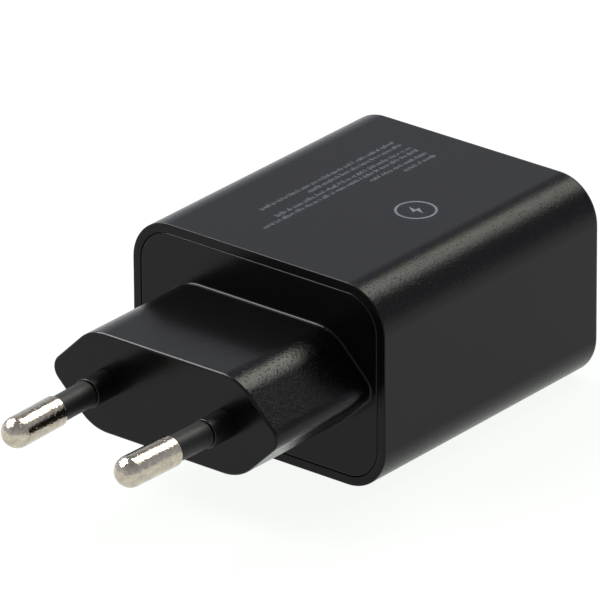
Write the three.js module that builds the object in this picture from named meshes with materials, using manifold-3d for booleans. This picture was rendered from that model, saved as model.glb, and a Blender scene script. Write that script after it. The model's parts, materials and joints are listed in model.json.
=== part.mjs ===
// USB wall charger with a fixed two-pin Euro plug. Millimetres, +Z up.
// The port face looks along -Y and the plug pins point along +Y. The label side faces up.
// The origin is under the middle of the whole charger, at the level of its flat underside.

import * as THREE from 'three';
import { mergeVertices } from 'three/addons/utils/BufferGeometryUtils.js';
import Module from 'manifold-3d';

const wasm = await Module();
wasm.setup();

// ---------- Driving dimensions ----------

// Housing
const BODY_WIDTH = 39.6;
const BODY_HEIGHT = 27.1;
const BODY_DEPTH = 42.8;
const BODY_CORNER_RADIUS = 5.9;
const PORT_EDGE_RADIUS = 0.7;
const WALL = 1.8;
const RIM_WIDTH = 1.2;
const RIB_THICKNESS = 1.1;

// Rear cover: a plate set inside the rim, with the hollow plug nose moulded on it
const COVER_GAP = 0.12;
const COVER_THICKNESS = 2.2;
const NOSE_LENGTH = 18.1;
const NOSE_HEIGHT = 13.4;
const NOSE_FLAT_WIDTH = 23.2;
const NOSE_TIP_TO_TIP = 36.8;
const NOSE_CORNER_RADIUS = 6;
const NOSE_TIP_RADIUS = 2;
const NOSE_WALL = 1.7;
const NOSE_FRONT_WALL = 2.2;

// Plug pins: distances along a pin are counted from the front face of the nose
const PIN_LENGTH = 19;
const PIN_RADIUS = 2;
const PIN_ROOT_SPACING = 18.6;
const PIN_TIP_SPACING = 17.6;
const SHANK_RADIUS = 0.95;
const COLLAR_LENGTH = 3.6;
const COLLAR_RADIUS = 1.9;
const COLLAR_EDGE = 0.1;
const COLLAR_ROOT_FILLET = 0.2;
const SLEEVE_END = 9.6;
const SLEEVE_RADIUS = 1.7;
const SLEEVE_NECK_RADIUS = 1.35;
const SLEEVE_DEPTH = 2;
const BOSS_DEPTH = 5;
const BOSS_RADIUS = 2.6;

// Circuit boards
const BOARD_THICKNESS = 1.2;
const MAIN_BOARD_WIDTH = 34;
const MAIN_BOARD_BOTTOM = 4.6;
const PORT_BOARD_WIDTH = 32.8;
const PORT_BOARD_DEPTH = 12;

// Sockets
const USB_A_X = 7;
const USB_C_X = -9;
const SOCKET_WALL = 0.3;
const SOCKET_RECESS = 0.3;
const SOCKET_CLEARANCE = 0.15;
const USB_A_OPENING = { width: 12.5, height: 5.12, radius: 0.5 };
const USB_C_OPENING = { width: 8.34, height: 2.56, radius: 1.27 };
const USB_A_TONGUE = { width: 11.1, thickness: 1.84, length: 7.3, top: 2.12 };
const USB_C_TONGUE = { width: 6.69, thickness: 0.7, length: 5.7 };
const CONTACT_X = [-3.5, -1, 1, 3.5];
const CONTACT_WIDTH = 1;
const CONTACT_THICKNESS = 0.25;
const CONTACT_ROOT_DROP = 0.45;

// Transformer: an E core, two halves face to face, round its bobbin
const TRANSFORMER_Y = -16;
const CORE = { width: 15, depth: 6, half: 6.8, back: 2.4, outerLeg: 2.2, centreLeg: 4.8 };

// Other parts on the main board, with the places of their middles
const INPUT_CAPACITOR = { radius: 4, height: 14, x: 12.4, y: -9 };
const OUTPUT_CAPACITOR = { radius: 3.15, height: 9, x: 12.8, y: -21.6 };
const FUSE = { radius: 4.1, height: 7.5, x: 0, y: -4.6 };
const DRUM = { radius: 2.5, waist: 1.3, height: 7, flange: 1, x: -12.8, y: -15.7 };
const DISC = { radius: 3.4, halfThickness: 1.5, x: 12.6, y: -15.7 };
const CHIPS = [
  { name: 'bridge_rectifier', length: 5, width: 4, height: 1.4, legs: 2, x: 9, y: -6 },
  { name: 'primary_controller', length: 4.9, width: 3.9, height: 1.5, legs: 4, x: -8, y: -7 },
  { name: 'optocoupler', length: 3, width: 4.4, height: 1.6, legs: 2, x: -11, y: -16 },
  { name: 'sync_rectifier', length: 4.9, width: 3.9, height: 1.5, legs: 4, x: 6, y: -21.5 },
];

// Levels and planes that follow from the sizes above
const MID_Z = BODY_HEIGHT / 2;
const PORT_Y = -(BODY_DEPTH + NOSE_LENGTH + PIN_LENGTH) / 2;
const RIM_Y = PORT_Y + BODY_DEPTH;
const NOSE_Y = RIM_Y + NOSE_LENGTH;
const COVER_INSET = RIM_WIDTH + COVER_GAP;
const COVER_BACK_Y = RIM_Y - COVER_THICKNESS;
const PIN_TILT = Math.atan((PIN_ROOT_SPACING - PIN_TIP_SPACING) / 2 / PIN_LENGTH);
const SOCKET_MOUTH_Y = PORT_Y + SOCKET_RECESS;
const PORT_BOARD_Y = PORT_Y + PORT_BOARD_DEPTH;
const SOCKET_BACK_Y = PORT_BOARD_Y - 0.15;
const MAIN_BOARD_TOP = MAIN_BOARD_BOTTOM + BOARD_THICKNESS;
const MAIN_BOARD_FRONT_Y = PORT_BOARD_Y + BOARD_THICKNESS + 0.3;
const MAIN_BOARD_BACK_Y = COVER_BACK_Y - 0.4;
const JOIN = 0.4; // how far a feature reaches into the body it is joined to

// ---------- Materials ----------

const finish = (color, roughness, metalness = 0) => ({ color, roughness, metalness });
const BLACK_PLASTIC = finish(0x2b2c2e, 0.45);
const SLEEVE_PLASTIC = finish(0x1c1c1b, 0.35);
const NICKEL = finish(0xcfc6b8, 0.22, 1);
const BRASS = finish(0xc9a24b, 0.35, 1);
const SOCKET_STEEL = finish(0xb9bcc0, 0.3, 1);
const GOLD_PLATE = finish(0xd6b25e, 0.3, 1);
const BOARD_GREEN = finish(0x1f5a36, 0.5);
const INSULATOR_BLACK = finish(0x17181a, 0.5);
const FERRITE = finish(0x3a3a3c, 0.8);
const BOBBIN = finish(0x111214, 0.5);
const TAPE_YELLOW = finish(0xe0c23a, 0.45);
const COPPER = finish(0xb8632f, 0.35, 1);
const CAN_BLACK = finish(0x22252b, 0.35);
const CAN_SILVER = finish(0xc7c9cc, 0.3, 1);
const FUSE_BROWN = finish(0x4a2f22, 0.5);
const DISC_BLUE = finish(0x2b5fa8, 0.45);
const CHIP_BLACK = finish(0x18191a, 0.6);
const SHEET_CLEAR = finish(0xd9d4c4, 0.5);

// ---------- Closed solids: merging, joining and cutting ----------

// Positions and outward triangles of a closed geometry, with its shared vertices merged
function closedSurface(geometry) {
  const bare = geometry.clone();
  bare.deleteAttribute('normal');
  bare.deleteAttribute('uv');
  const merged = mergeVertices(bare);
  const points = merged.getAttribute('position').array;
  const index = merged.getIndex().array;
  const triangles = [];
  let volume = 0;
  const [a, b, c] = [new THREE.Vector3(), new THREE.Vector3(), new THREE.Vector3()];
  for (let i = 0; i < index.length; i += 3) {
    const [p, q, r] = [index[i], index[i + 1], index[i + 2]];
    if (p === q || q === r || r === p) continue;
    triangles.push(p, q, r);
    a.fromArray(points, 3 * p);
    b.fromArray(points, 3 * q);
    c.fromArray(points, 3 * r);
    volume += a.dot(b.cross(c));
  }
  if (volume < 0) triangles.reverse();
  return { points, triangles };
}

function toManifold(geometry) {
  const { points, triangles } = closedSurface(geometry);
  return new wasm.Manifold(new wasm.Mesh({
    numProp: 3,
    vertProperties: new Float32Array(points),
    triVerts: new Uint32Array(triangles),
  }));
}

function toGeometry(manifold) {
  const mesh = manifold.getMesh();
  const geometry = new THREE.BufferGeometry();
  geometry.setAttribute('position', new THREE.BufferAttribute(mesh.vertProperties, 3));
  geometry.setIndex(new THREE.BufferAttribute(mesh.triVerts, 1));
  geometry.computeVertexNormals();
  return geometry;
}

// One solid: the first geometries joined, then the cutters taken away
function shaped(joined, cutters = []) {
  let result = toManifold(joined[0]);
  for (const geometry of joined.slice(1)) result = result.add(toManifold(geometry));
  for (const geometry of cutters) result = result.subtract(toManifold(geometry));
  return toGeometry(result);
}

// ---------- Outlines ----------

// Closed outline through the corners, given anticlockwise as [x, y, radius]
function roundedOutline(corners) {
  const shape = new THREE.Shape();
  corners.forEach(([x, y, radius], i) => {
    const corner = new THREE.Vector2(x, y);
    const before = new THREE.Vector2(...corners.at(i - 1)).sub(corner).normalize();
    const after = new THREE.Vector2(...corners[(i + 1) % corners.length]).sub(corner).normalize();
    const halfAngle = Math.acos(before.dot(after)) / 2;
    const start = corner.clone().addScaledVector(before, radius / Math.tan(halfAngle));
    if (i === 0) shape.moveTo(start.x, start.y);
    else shape.lineTo(start.x, start.y);
    if (radius === 0) return;
    const bisector = before.clone().add(after).normalize();
    const centre = corner.clone().addScaledVector(bisector, radius / Math.sin(halfAngle));
    const end = corner.clone().addScaledVector(after, radius / Math.tan(halfAngle));
    const startAngle = Math.atan2(start.y - centre.y, start.x - centre.x);
    const endAngle = Math.atan2(end.y - centre.y, end.x - centre.x);
    shape.absarc(centre.x, centre.y, radius, startAngle, endAngle, false);
  });
  shape.closePath();
  return shape;
}

function roundedRectangle(width, height, radius, x = 0, y = 0) {
  const [w, h] = [width / 2, height / 2];
  return roundedOutline([
    [x - w, y - h, radius],
    [x + w, y - h, radius],
    [x + w, y + h, radius],
    [x - w, y + h, radius],
  ]);
}

// Cross-section of the housing, moved inwards by the inset
function bodyOutline(inset) {
  const [width, height] = [BODY_WIDTH - 2 * inset, BODY_HEIGHT - 2 * inset];
  return roundedRectangle(width, height, BODY_CORNER_RADIUS - inset, 0, MID_Z);
}

// Six-sided section of the plug nose, moved inwards by the inset
function noseOutline(inset) {
  const height = NOSE_HEIGHT / 2;
  const slope = (NOSE_TIP_TO_TIP - NOSE_FLAT_WIDTH) / 2;
  const tip = NOSE_TIP_TO_TIP / 2 - inset / Math.sin(Math.atan2(height, slope));
  const top = height - inset;
  const flat = tip - slope * top / height;
  const cornerRadius = NOSE_CORNER_RADIUS - inset;
  const tipRadius = NOSE_TIP_RADIUS - inset;
  return roundedOutline([
    [tip, MID_Z, tipRadius],
    [flat, MID_Z + top, cornerRadius],
    [-flat, MID_Z + top, cornerRadius],
    [-tip, MID_Z, tipRadius],
    [-flat, MID_Z - top, cornerRadius],
    [flat, MID_Z - top, cornerRadius],
  ]);
}

// Band of even thickness around a line of points, as a closed outline
function ribbonOutline(points, thickness) {
  const line = points.map(([x, y]) => new THREE.Vector2(x, y));
  const offset = (i, side) => {
    const back = line[i].clone().sub(line[Math.max(i - 1, 0)]).normalize();
    const ahead = line[Math.min(i + 1, line.length - 1)].clone().sub(line[i]).normalize();
    const along = back.add(ahead).normalize();
    const next = i === 0 ? 1 : i;
    const segment = line[next].clone().sub(line[next - 1]).normalize();
    const reach = thickness / 2 / Math.max(along.dot(segment), 0.5);
    return new THREE.Vector2(line[i].x - side * along.y * reach, line[i].y + side * along.x * reach);
  };
  const left = line.map((_, i) => offset(i, 1));
  const right = line.map((_, i) => offset(i, -1)).reverse();
  return new THREE.Shape([...left, ...right]);
}

// ---------- Basic solids ----------

function extrudeZ(shape, bottom, top, curveSegments = 4) {
  const options = { depth: top - bottom, bevelEnabled: false, curveSegments };
  return new THREE.ExtrudeGeometry(shape, options).translate(0, 0, bottom);
}

// The outline's x stays X and its y becomes Z
function extrudeY(shape, start, end, curveSegments = 4) {
  return extrudeZ(shape, 0, end - start, curveSegments).rotateX(Math.PI / 2).translate(0, end, 0);
}

// The outline's x becomes Y and its y becomes Z
function extrudeX(shape, start, end, curveSegments = 4) {
  const flat = extrudeZ(shape, 0, end - start, curveSegments);
  return flat.rotateX(Math.PI / 2).rotateZ(Math.PI / 2).translate(start, 0, 0);
}

function box([x0, x1], [y0, y1], [z0, z1]) {
  const geometry = new THREE.BoxGeometry(x1 - x0, y1 - y0, z1 - z0);
  return geometry.translate((x0 + x1) / 2, (y0 + y1) / 2, (z0 + z1) / 2);
}

// Turned solid on the Y axis; the profile is [radius, y] and starts and ends on the axis
function turnedY(profile, segments = 24) {
  return new THREE.LatheGeometry(profile.map(([r, y]) => new THREE.Vector2(r, y)), segments);
}

function turnedZ(profile, segments = 24) {
  return turnedY(profile, segments).rotateX(Math.PI / 2);
}

function cylinderY(radius, start, end, segments = 24) {
  return turnedY([[0, start], [radius, start], [radius, end], [0, end]], segments);
}

// ---------- The scene graph ----------

const group = new THREE.Group();

function addPiece(name, geometry, look, parent = group) {
  const { points, triangles } = closedSurface(geometry);
  const closed = new THREE.BufferGeometry();
  closed.setAttribute('position', new THREE.BufferAttribute(new Float32Array(points), 3));
  closed.setIndex(triangles);
  closed.computeVertexNormals();
  const mesh = new THREE.Mesh(closed, new THREE.MeshStandardMaterial({ ...look, flatShading: true }));
  mesh.name = name;
  parent.add(mesh);
  return mesh;
}

// ---------- Housing and rear cover ----------

// Outer skin of the housing: bevelled round the port face, cut flat at the rim
function housingSkin() {
  const options = {
    depth: BODY_DEPTH,
    bevelThickness: PORT_EDGE_RADIUS,
    bevelSize: PORT_EDGE_RADIUS,
    bevelOffset: -PORT_EDGE_RADIUS,
    bevelSegments: 3,
    curveSegments: 5,
  };
  const skin = new THREE.ExtrudeGeometry(bodyOutline(0), options).rotateX(Math.PI / 2);
  return skin.translate(0, PORT_Y + BODY_DEPTH + PORT_EDGE_RADIUS, 0);
}

function socketCutOut(opening, x) {
  const grow = 2 * (SOCKET_WALL + SOCKET_CLEARANCE);
  const radius = opening.radius + grow / 2;
  const outline = roundedRectangle(opening.width + grow, opening.height + grow, radius, x, MID_Z);
  return extrudeY(outline, PORT_Y - 1, PORT_Y + WALL + 1, 3);
}

// Rails under the main board and stops behind the port board, one set on each side wall
function housingRibs(side) {
  const wall = BODY_WIDTH / 2 - WALL;
  const across = (inner) => [side * inner, side * (wall + JOIN)].sort((a, b) => a - b);
  const stopY = PORT_BOARD_Y + BOARD_THICKNESS + 0.1;
  const railTop = MAIN_BOARD_BOTTOM;
  return [
    box(across(wall - 1.8), [PORT_BOARD_Y + 2, COVER_BACK_Y - 1], [railTop - RIB_THICKNESS, railTop]),
    box(across(wall - 2.6), [stopY, stopY + RIB_THICKNESS], [MID_Z - 3, MID_Z + 3]),
  ];
}

function housingShell() {
  const beyondRim = box([-BODY_WIDTH, BODY_WIDTH], [RIM_Y, RIM_Y + 5], [-BODY_HEIGHT, 2 * BODY_HEIGHT]);
  const cavity = extrudeY(bodyOutline(WALL), PORT_Y + WALL, RIM_Y + 1);
  const coverSeat = extrudeY(bodyOutline(RIM_WIDTH), COVER_BACK_Y, RIM_Y + 1);
  const shell = shaped([housingSkin()], [
    beyondRim,
    cavity,
    coverSeat,
    socketCutOut(USB_A_OPENING, USB_A_X),
    socketCutOut(USB_C_OPENING, USB_C_X),
  ]);
  return shaped([shell, ...housingRibs(-1), ...housingRibs(1)]);
}

// Moves a solid made on the Y axis onto a pin's leaning axis
function ontoPinAxis(geometry, side) {
  return geometry.rotateZ(side * PIN_TILT).translate(side * PIN_ROOT_SPACING / 2, NOSE_Y, MID_Z);
}

function pinCollar(side) {
  const profile = [
    [0, -BOSS_DEPTH],
    [BOSS_RADIUS, -BOSS_DEPTH],
    [BOSS_RADIUS, -1],
    [COLLAR_RADIUS + COLLAR_ROOT_FILLET, -1],
    [COLLAR_RADIUS + COLLAR_ROOT_FILLET, 0],
    [COLLAR_RADIUS, COLLAR_ROOT_FILLET],
    [COLLAR_RADIUS, COLLAR_LENGTH - COLLAR_EDGE],
    [COLLAR_RADIUS - COLLAR_EDGE, COLLAR_LENGTH],
    [0, COLLAR_LENGTH],
  ];
  return ontoPinAxis(turnedY(profile), side);
}

// Stepped hole: wide for the neck of the sleeve, narrow for the shank behind it
function pinHole(side) {
  const neck = SLEEVE_NECK_RADIUS + 0.1;
  const shank = SHANK_RADIUS + 0.13;
  const step = -SLEEVE_DEPTH - 0.2;
  const profile = [
    [0, -BOSS_DEPTH - 1],
    [shank, -BOSS_DEPTH - 1],
    [shank, step],
    [neck, step],
    [neck, COLLAR_LENGTH + 1],
    [0, COLLAR_LENGTH + 1],
  ];
  return ontoPinAxis(turnedY(profile), side);
}

function rearCover() {
  const plate = extrudeY(bodyOutline(COVER_INSET), COVER_BACK_Y, RIM_Y);
  const nose = extrudeY(noseOutline(0), RIM_Y - JOIN, NOSE_Y);
  const hollow = extrudeY(noseOutline(NOSE_WALL), COVER_BACK_Y - 1, NOSE_Y - NOSE_FRONT_WALL);
  const moulding = shaped([plate, nose], [hollow]);
  return shaped([moulding, pinCollar(-1), pinCollar(1)], [pinHole(-1), pinHole(1)]);
}

// ---------- Plug pins ----------

const STRIP_THICKNESS = 0.6;
const STRIP_PLATE = -BOSS_DEPTH - 0.3; // front of the contact strip's plate, along the pin
const RIVET_RADIUS = 1.5;
const RIVET_THICKNESS = 0.7;

// Bare metal head with a round tip, and a thin shank riveted behind the contact strip
function pinMetal() {
  const rivetFront = STRIP_PLATE - STRIP_THICKNESS - 0.1;
  const edge = 0.25;
  const domeCentre = PIN_LENGTH - PIN_RADIUS;
  const dome = [];
  const steps = 7;
  for (let i = 0; i <= steps; i += 1) {
    const angle = i / steps * Math.PI / 2;
    dome.push([PIN_RADIUS * Math.cos(angle), domeCentre + PIN_RADIUS * Math.sin(angle)]);
  }
  dome[steps][0] = 0;
  return turnedY([
    [0, rivetFront - RIVET_THICKNESS],
    [RIVET_RADIUS - 0.4, rivetFront - RIVET_THICKNESS],
    [RIVET_RADIUS, rivetFront - 0.3],
    [RIVET_RADIUS, rivetFront],
    [SHANK_RADIUS, rivetFront],
    [SHANK_RADIUS, SLEEVE_END],
    [PIN_RADIUS - edge, SLEEVE_END],
    [PIN_RADIUS, SLEEVE_END + edge],
    ...dome,
  ]);
}

// Insulating sleeve: a full-size barrel outside the collar and a neck inside it
function pinSleeve() {
  const bore = SHANK_RADIUS + 0.1;
  const barrelStart = COLLAR_LENGTH + 0.1;
  const barrelEnd = SLEEVE_END - 0.05;
  return turnedY([
    [bore, -SLEEVE_DEPTH],
    [SLEEVE_NECK_RADIUS, -SLEEVE_DEPTH],
    [SLEEVE_NECK_RADIUS, barrelStart],
    [SLEEVE_RADIUS - 0.1, barrelStart],
    [SLEEVE_RADIUS, barrelStart + 0.1],
    [SLEEVE_RADIUS, barrelEnd],
    [bore, barrelEnd],
    [bore, -SLEEVE_DEPTH],
  ]);
}

// Brass strip: a plate riveted on the pin's tail, a run back through the nose, a foot on the board
function contactStrip() {
  const width = 4;
  const plateMid = STRIP_PLATE - STRIP_THICKNESS / 2;
  const legY = MAIN_BOARD_BACK_Y - 1.4 - NOSE_Y;
  const footZ = MAIN_BOARD_TOP + STRIP_THICKNESS / 2 - MID_Z;
  const line = [
    [plateMid, 2.6],
    [plateMid, -3.2],
    [legY, -3.2],
    [legY, footZ],
    [legY - 1.8, footZ],
  ];
  const strip = extrudeX(ribbonOutline(line, STRIP_THICKNESS), -width / 2, width / 2);
  const hole = cylinderY(SHANK_RADIUS + 0.2, STRIP_PLATE - STRIP_THICKNESS - 1, STRIP_PLATE + 1);
  return shaped([strip], [hole]);
}

function addPin(side, sideName) {
  const leaning = new THREE.Group();
  leaning.position.set(side * PIN_ROOT_SPACING / 2, NOSE_Y, MID_Z);
  leaning.rotation.z = side * PIN_TILT;
  group.add(leaning);
  addPiece(`pin_${sideName}`, pinMetal(), NICKEL, leaning);
  addPiece(`pin_sleeve_${sideName}`, pinSleeve(), SLEEVE_PLASTIC, leaning);
  addPiece(`contact_strip_${sideName}`, contactStrip(), BRASS, leaning);
}

// ---------- Sockets ----------

function socketShell(opening, x) {
  const grow = 2 * SOCKET_WALL;
  const outer = roundedRectangle(
    opening.width + grow, opening.height + grow, opening.radius + SOCKET_WALL, x, MID_Z);
  const inner = roundedRectangle(opening.width, opening.height, opening.radius, x, MID_Z);
  return shaped(
    [extrudeY(outer, SOCKET_MOUTH_Y, SOCKET_BACK_Y, 3)],
    [extrudeY(inner, SOCKET_MOUTH_Y - 1, SOCKET_BACK_Y + 1, 3)]);
}

const USB_A_TONGUE_LOW = MID_Z + USB_A_TONGUE.top - USB_A_TONGUE.thickness;
const CONTACT_ROOT_Z = USB_A_TONGUE_LOW - CONTACT_ROOT_DROP;
const USB_A_TONGUE_TIP_Y = SOCKET_MOUTH_Y + 0.8;
const USB_A_BLOCK_Y = USB_A_TONGUE_TIP_Y + USB_A_TONGUE.length;
const USB_C_TONGUE_TIP_Y = SOCKET_MOUTH_Y + 0.8;
const USB_C_BLOCK_Y = USB_C_TONGUE_TIP_Y + USB_C_TONGUE.length;
const SLOT_DEPTH = 0.9;

// Insulator of the USB-A socket: a block across the back with the tongue moulded on it
function usbATongue() {
  const clearance = 0.1;
  const block = roundedRectangle(
    USB_A_OPENING.width - 2 * clearance, USB_A_OPENING.height - 2 * clearance, 0.3, USB_A_X, MID_Z);
  const halfWidth = USB_A_TONGUE.width / 2;
  const tongue = box(
    [USB_A_X - halfWidth, USB_A_X + halfWidth],
    [USB_A_TONGUE_TIP_Y, USB_A_BLOCK_Y + JOIN],
    [USB_A_TONGUE_LOW, MID_Z + USB_A_TONGUE.top]);
  const slots = CONTACT_X.map((x) => box(
    [USB_A_X + x - CONTACT_WIDTH / 2 - 0.15, USB_A_X + x + CONTACT_WIDTH / 2 + 0.15],
    [USB_A_BLOCK_Y - 1, USB_A_BLOCK_Y + SLOT_DEPTH],
    [CONTACT_ROOT_Z - 0.3, CONTACT_ROOT_Z + 0.3]));
  return shaped([extrudeY(block, USB_A_BLOCK_Y, SOCKET_BACK_Y, 2), tongue], slots);
}

// Leaf contact: rooted in its slot, bowed down to meet the plug, turned up again at its tip
function leafContact(x) {
  const line = [
    [USB_A_BLOCK_Y + SLOT_DEPTH - 0.1, CONTACT_ROOT_Z],
    [USB_A_BLOCK_Y - 0.8, CONTACT_ROOT_Z],
    [USB_A_BLOCK_Y - 5, CONTACT_ROOT_Z - 0.6],
    [USB_A_BLOCK_Y - 5.6, CONTACT_ROOT_Z - 0.62],
    [USB_A_BLOCK_Y - 6.8, CONTACT_ROOT_Z - 0.18],
  ];
  const middle = USB_A_X + x;
  return extrudeX(
    ribbonOutline(line, CONTACT_THICKNESS), middle - CONTACT_WIDTH / 2, middle + CONTACT_WIDTH / 2);
}

// Insulator of the USB-C socket: a block across the back with the thin tongue moulded on it
function usbCTongue() {
  const clearance = 0.08;
  const block = roundedRectangle(
    USB_C_OPENING.width - 2 * clearance, USB_C_OPENING.height - 2 * clearance,
    USB_C_OPENING.radius - clearance - 0.01, USB_C_X, MID_Z);
  const halfWidth = USB_C_TONGUE.width / 2;
  const tongue = box(
    [USB_C_X - halfWidth, USB_C_X + halfWidth],
    [USB_C_TONGUE_TIP_Y, USB_C_BLOCK_Y + JOIN],
    [MID_Z - USB_C_TONGUE.thickness / 2, MID_Z + USB_C_TONGUE.thickness / 2]);
  return shaped([extrudeY(block, USB_C_BLOCK_Y, SOCKET_BACK_Y, 3), tongue]);
}

// ---------- Circuit boards ----------

function mainBoard() {
  const halfWidth = MAIN_BOARD_WIDTH / 2;
  const board = box(
    [-halfWidth, halfWidth],
    [MAIN_BOARD_FRONT_Y, MAIN_BOARD_BACK_Y],
    [MAIN_BOARD_BOTTOM, MAIN_BOARD_TOP]);
  // Routed slot under the transformer that keeps the mains side of the board apart from the USB side
  const isolationSlot = box(
    [-halfWidth + 9, halfWidth - 9],
    [TRANSFORMER_Y - 0.8, TRANSFORMER_Y + 0.8],
    [MAIN_BOARD_BOTTOM - 1, MAIN_BOARD_TOP + 1]);
  return shaped([board], [isolationSlot]);
}

function portBoard() {
  const outline = roundedRectangle(PORT_BOARD_WIDTH, BODY_HEIGHT - 2 * WALL - 2.4, 2, 0, MID_Z);
  return extrudeY(outline, PORT_BOARD_Y, PORT_BOARD_Y + BOARD_THICKNESS, 2);
}

// Strip with solder pins that ties the port board to the main board
function boardHeader() {
  const backY = MAIN_BOARD_FRONT_Y + 1.8;
  const frontY = PORT_BOARD_Y + BOARD_THICKNESS;
  const strip = box([-6.5, 6.5], [frontY, backY], [MAIN_BOARD_TOP, MAIN_BOARD_TOP + 2]);
  const pins = [-5, -2.5, 0, 2.5, 5].map((x) => box(
    [x - 0.3, x + 0.3], [backY - JOIN, backY + 0.8], [MAIN_BOARD_TOP, MAIN_BOARD_TOP + 0.6]));
  return shaped([strip, ...pins]);
}

// Thin sheet on the flat of the floor, under the mains side of the main board
function insulationSheet() {
  const halfWidth = BODY_WIDTH / 2 - BODY_CORNER_RADIUS - 0.1;
  const [frontY, backY] = [MAIN_BOARD_FRONT_Y + 1, MAIN_BOARD_BACK_Y - 1];
  return box([-halfWidth, halfWidth], [frontY, backY], [WALL, WALL + 0.3]);
}

// ---------- Transformer ----------

const CORE_BOTTOM = MAIN_BOARD_TOP + 0.5;

// Half of the core, in outline: back at y = 0 and its three legs pointing up
function coreOutline() {
  const [edge, leg] = [CORE.width / 2, CORE.centreLeg / 2];
  const inner = edge - CORE.outerLeg;
  const tip = CORE.half - 0.05;
  return new THREE.Shape([
    [-edge, 0], [edge, 0], [edge, tip], [inner, tip], [inner, CORE.back], [leg, CORE.back],
    [leg, tip], [-leg, tip], [-leg, CORE.back], [-inner, CORE.back], [-inner, tip], [-edge, tip],
  ].map(([x, y]) => new THREE.Vector2(x, y)));
}

function transformerCore(isUpper) {
  const core = extrudeY(coreOutline(), -CORE.depth / 2, CORE.depth / 2);
  if (isUpper) core.rotateY(Math.PI).translate(0, 0, 2 * CORE.half);
  return core.translate(0, TRANSFORMER_Y, CORE_BOTTOM);
}

const BOBBIN_LOW = CORE_BOTTOM + CORE.back + 0.1;
const BOBBIN_HIGH = CORE_BOTTOM + 2 * CORE.half - CORE.back - 0.1;
const FLANGE = { width: 10.3, depth: 12.4, thickness: 0.8 };
const TUBE = { width: 6.6, depth: 7.8 };

// Bobbin: a tube round the centre leg, a flange at each end, and two rails that stand on the board
function transformerBobbin() {
  const flange = roundedRectangle(FLANGE.width, FLANGE.depth, 1.5);
  const rail = (side) => box(
    [-6.4, 6.4],
    [side * FLANGE.depth / 2, side * (CORE.depth / 2 + 0.2)].sort((a, b) => a - b),
    [MAIN_BOARD_TOP, BOBBIN_LOW + JOIN]);
  const bore = box(
    [-CORE.centreLeg / 2 - 0.15, CORE.centreLeg / 2 + 0.15],
    [-CORE.depth / 2 - 0.15, CORE.depth / 2 + 0.15],
    [BOBBIN_LOW - 1, BOBBIN_HIGH + 1]);
  const bobbin = shaped([
    extrudeZ(flange, BOBBIN_LOW, BOBBIN_LOW + FLANGE.thickness, 2),
    extrudeZ(flange, BOBBIN_HIGH - FLANGE.thickness, BOBBIN_HIGH, 2),
    extrudeZ(roundedRectangle(TUBE.width, TUBE.depth, 0.5), BOBBIN_LOW, BOBBIN_HIGH, 1),
    rail(-1),
    rail(1),
  ], [bore]);
  return bobbin.translate(0, TRANSFORMER_Y, 0);
}

// Taped winding pack around the bobbin's tube
function transformerWinding() {
  const [low, high] = [BOBBIN_LOW + FLANGE.thickness + 0.05, BOBBIN_HIGH - FLANGE.thickness - 0.05];
  const outer = roundedRectangle(FLANGE.width - 0.3, FLANGE.depth - 0.5, 2.2);
  const inner = roundedRectangle(TUBE.width + 0.2, TUBE.depth + 0.2, 0.6);
  const winding = shaped([extrudeZ(outer, low, high, 2)], [extrudeZ(inner, low - 1, high + 1, 1)]);
  return winding.translate(0, TRANSFORMER_Y, 0);
}

// ---------- Other parts on the boards ----------

// Can with a rolled groove near its foot and a soft top edge, standing on the main board
function capacitorCan(radius, height) {
  return turnedZ([
    [0, 0],
    [radius - 0.3, 0],
    [radius, 0.3],
    [radius, 1.2],
    [radius - 0.4, 1.6],
    [radius, 2],
    [radius, height - 0.4],
    [radius - 0.4, height],
    [0, height],
  ]);
}

function standingAt(geometry, { x, y }, side = 1) {
  return geometry.translate(side * x, y, MAIN_BOARD_TOP);
}

function fuseBody() {
  const { radius, height } = FUSE;
  return turnedZ([
    [0, 0], [radius - 0.2, 0], [radius, 0.3], [radius, height - 0.5], [radius - 0.5, height], [0, height],
  ]);
}

function filterInductorCore() {
  const top = DRUM.height - DRUM.flange;
  return turnedZ([
    [0, 0], [DRUM.radius, 0], [DRUM.radius, DRUM.flange], [DRUM.waist, DRUM.flange],
    [DRUM.waist, top], [DRUM.radius, top], [DRUM.radius, DRUM.height], [0, DRUM.height],
  ]);
}

function filterInductorWinding() {
  const [inner, outer] = [DRUM.waist + 0.05, DRUM.radius - 0.15];
  const [low, high] = [DRUM.flange + 0.05, DRUM.height - DRUM.flange - 0.05];
  return turnedZ([[inner, low], [outer, low], [outer, high], [inner, high], [inner, low]]);
}

// Disc capacitor standing on two wire legs
function safetyCapacitor() {
  const { radius, halfThickness } = DISC;
  const centreZ = radius + 1.6;
  const shoulder = halfThickness - 0.2;
  const disc = turnedY([
    [0, -halfThickness],
    [radius - 1, -shoulder],
    [radius, -0.4],
    [radius, 0.4],
    [radius - 1, shoulder],
    [0, halfThickness],
  ]).translate(0, 0, centreZ);
  const leg = (x) => box([x - 0.3, x + 0.3], [-0.3, 0.3], [0, centreZ - 1.5]);
  return shaped([disc, leg(-2), leg(2)]);
}

// Flat chip with a row of legs along each long side; its underside is at z = 0
function chip(length, width, height, legCount) {
  const body = box([-width / 2, width / 2], [-length / 2, length / 2], [0.1, height]);
  const legs = [];
  const pitch = length / legCount;
  for (let i = 0; i < legCount; i += 1) {
    const y = (i + 0.5) * pitch - length / 2;
    const halfLeg = pitch * 0.16;
    legs.push(box([-width / 2 - 0.9, width / 2 + 0.9], [y - halfLeg, y + halfLeg], [0, 0.25]));
  }
  return shaped([body, ...legs]);
}

// Chips hang from the underside of the main board
function underBoard(geometry, x, y) {
  return geometry.rotateY(Math.PI).translate(x, y, MAIN_BOARD_BOTTOM);
}

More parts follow.
